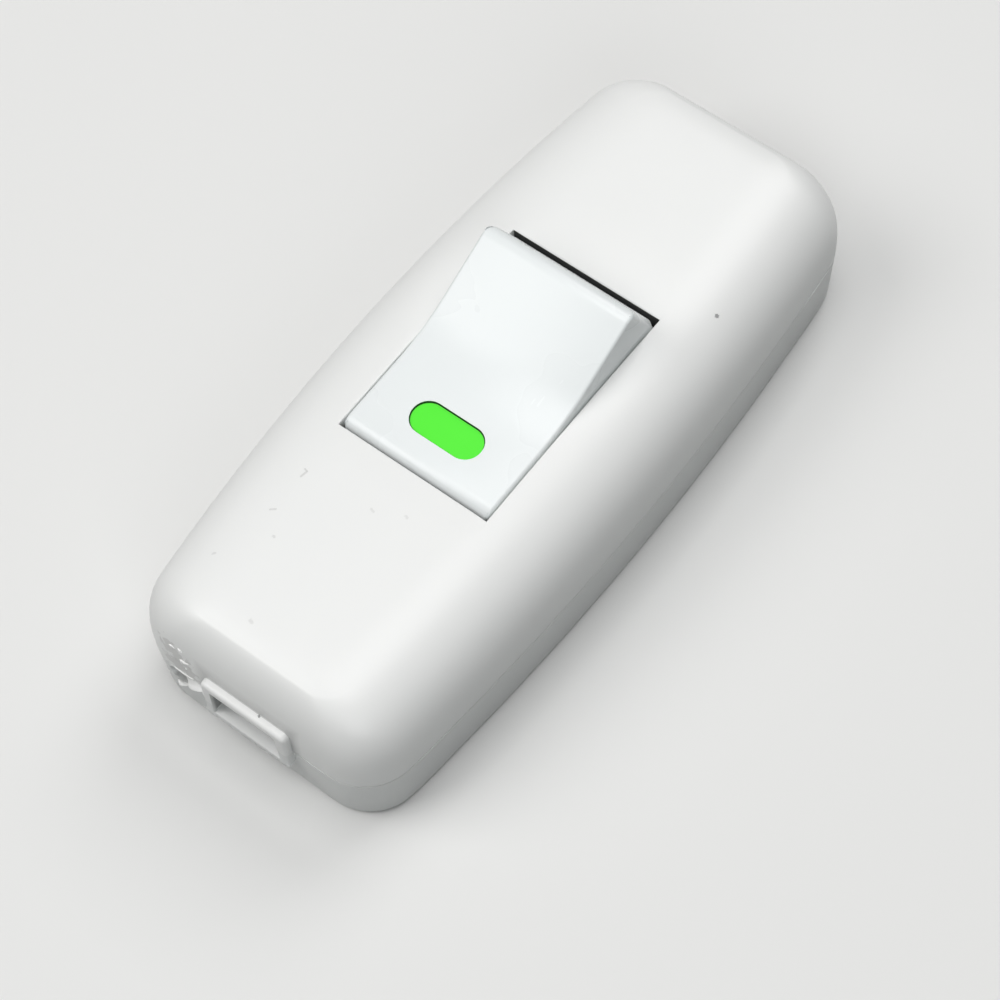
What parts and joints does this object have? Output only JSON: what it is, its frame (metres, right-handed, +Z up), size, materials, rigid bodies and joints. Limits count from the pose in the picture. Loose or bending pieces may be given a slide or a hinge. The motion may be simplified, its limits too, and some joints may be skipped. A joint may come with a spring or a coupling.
{
  "type": "inline cord switch",
  "caption": "Inline cord switch: barrel-sided white plastic casing with a rocker, a green indicator window, cord inlets, screw terminals and cord clamps.",
  "frame": {"origin": "middle of the casing's underside, on the surface it lies on", "axes": "+X along the casing from the end nearest the green window towards the other end, +Y across it, +Z up out of the rocker"},
  "size_m": [0.0816, 0.0344, 0.0242],
  "materials": {
    "base_plastic": "satin moulded plastic",
    "cover_plastic": "satin moulded plastic, warm white",
    "rocker_plastic": "satin moulded plastic, cool white",
    "window_plastic": "translucent green plastic",
    "plunger_plastic": "moulded nylon",
    "spring_steel": "spring wire",
    "contact_copper": "rolled copper alloy",
    "contact_silver": "silver alloy rivet",
    "terminal_brass": "extruded brass",
    "clamp_plastic": "moulded plastic",
    "screw_steel": "zinc-plated steel"
  },
  "bodies": {
    "casing": {"lower_base": "base_plastic", "upper_cover": "cover_plastic", "fixed_contact": "contact_silver", "feed_terminal": "terminal_brass", "load_terminal": "terminal_brass", "neutral_terminal": "terminal_brass", "inlet_cord_clamp": "clamp_plastic", "outlet_cord_clamp": "clamp_plastic", "feed_terminal_screw": "screw_steel", "load_terminal_screw": "screw_steel", "neutral_inlet_screw": "screw_steel", "neutral_outlet_screw": "screw_steel", "inlet_clamp_screw_right": "screw_steel", "inlet_clamp_screw_left": "screw_steel", "outlet_clamp_screw_right": "screw_steel", "outlet_clamp_screw_left": "screw_steel", "housing_screw_front": "screw_steel", "housing_screw_rear": "screw_steel"},
    "rocker_assembly": {"rocker": "rocker_plastic", "indicator_window": "window_plastic", "plunger": "plunger_plastic", "plunger_spring": "spring_steel"},
    "contact_arm": {"contact_bridge": "contact_copper", "moving_contact": "contact_silver"}
  },
  "joints": [
    {"name": "rocker_tilt", "type": "hinge", "parent": "casing", "child": "rocker_assembly", "pos_m": [0, 0, 0.01433], "axis": [0, 1, 0], "range_deg": [0, 28]},
    {"name": "bridge_tilt", "type": "hinge", "parent": "casing", "child": "contact_arm", "pos_m": [0, 0, 0.007], "axis": [0, 1, 0], "range_deg": [-14, 0]}
  ],
  "couplings": [
    {"joint": "bridge_tilt", "follows": "rocker_tilt", "ratio": -0.5}
  ]
}
